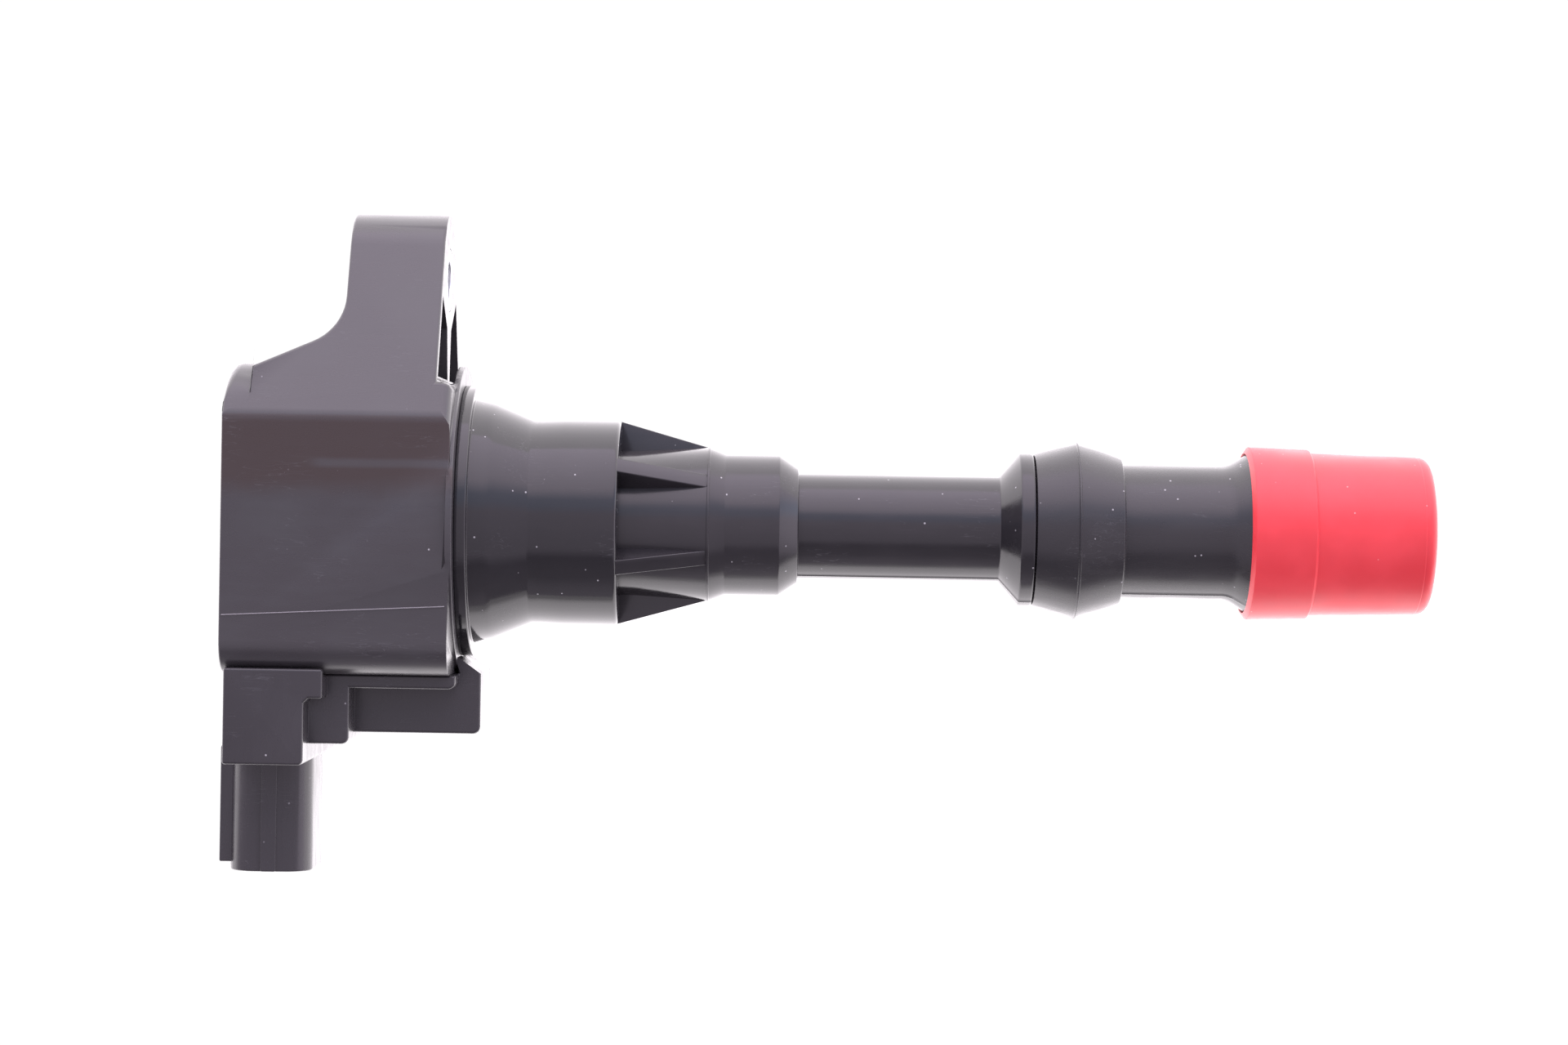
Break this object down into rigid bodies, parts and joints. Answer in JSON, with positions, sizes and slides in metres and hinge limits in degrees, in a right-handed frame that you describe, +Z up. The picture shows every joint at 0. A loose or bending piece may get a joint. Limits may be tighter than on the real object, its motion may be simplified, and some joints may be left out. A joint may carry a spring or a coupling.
{
  "type": "ignition coil",
  "caption": "Plug-top ignition coil: potted head with a bolt ear and an oval side connector, rubber well seal, finned extension tube and a black and red plug boot.",
  "frame": {"origin": "centre of the spark plug socket's mouth, on the coil axis", "axes": "+X along the coil axis out of the plug socket, so the head is at -X; +Y from the coil axis towards the bolt ear, so the connector opens towards -Y; +Z up from the flat side that the part lies on"},
  "size_m": [0.1817, 0.0993, 0.0468],
  "materials": {
    "case_plastic": "semi-gloss moulded black, glass-filled",
    "connector_plastic": "semi-gloss moulded black",
    "tube_plastic": "satin moulded black",
    "terminal_brass": "bright, tin-flashed at the tips",
    "plated_steel": "zinc plated",
    "spring_steel": "bright drawn wire",
    "potting_resin": "cast epoxy, slightly glossy and uneven",
    "core_steel": "stacked electrical steel",
    "magnet": "sintered, bare",
    "bobbin_plastic": "moulded natural plastic",
    "copper_wire": "enamelled copper, wound",
    "module_plastic": "moulded package",
    "heat_aluminium": "rolled",
    "seal_rubber": "satin black with a little surface dust",
    "gasket_silicone": "soft red-brown silicone",
    "resistor_ceramic": "glazed ceramic",
    "boot_rubber": "satin black with a little surface dust",
    "tip_silicone": "satin red silicone"
  },
  "bodies": {
    "coil": {"coil_case": "case_plastic", "connector_housing": "connector_plastic", "power_pin": "terminal_brass", "ground_pin": "terminal_brass", "trigger_pin": "terminal_brass", "bolt_sleeve": "plated_steel", "potting": "potting_resin", "centre_core": "core_steel", "ring_core": "core_steel", "bias_magnet": "magnet", "primary_bobbin": "bobbin_plastic", "primary_winding": "copper_wire", "secondary_bobbin": "bobbin_plastic", "secondary_winding": "copper_wire", "igniter_module": "module_plastic", "heat_plate": "heat_aluminium", "igniter_leads": "plated_steel", "hv_diode": "module_plastic", "hv_terminal": "terminal_brass", "well_seal": "seal_rubber", "joint_gasket": "gasket_silicone", "extension_tube": "tube_plastic", "resistor_body": "resistor_ceramic", "resistor_caps": "terminal_brass", "hv_rod": "plated_steel", "spring_seat": "terminal_brass", "contact_spring": "spring_steel", "plug_boot": "boot_rubber", "boot_tip": "tip_silicone"},
    "contact": {"plug_contact": "terminal_brass"}
  },
  "joints": [
    {"name": "contact_slide", "type": "slide", "parent": "coil", "child": "contact", "axis": [-1, 0, 0], "range_m": [0, 0.0045], "stiffness_N_per_m": 500, "deforming": ["contact_spring"]}
  ]
}
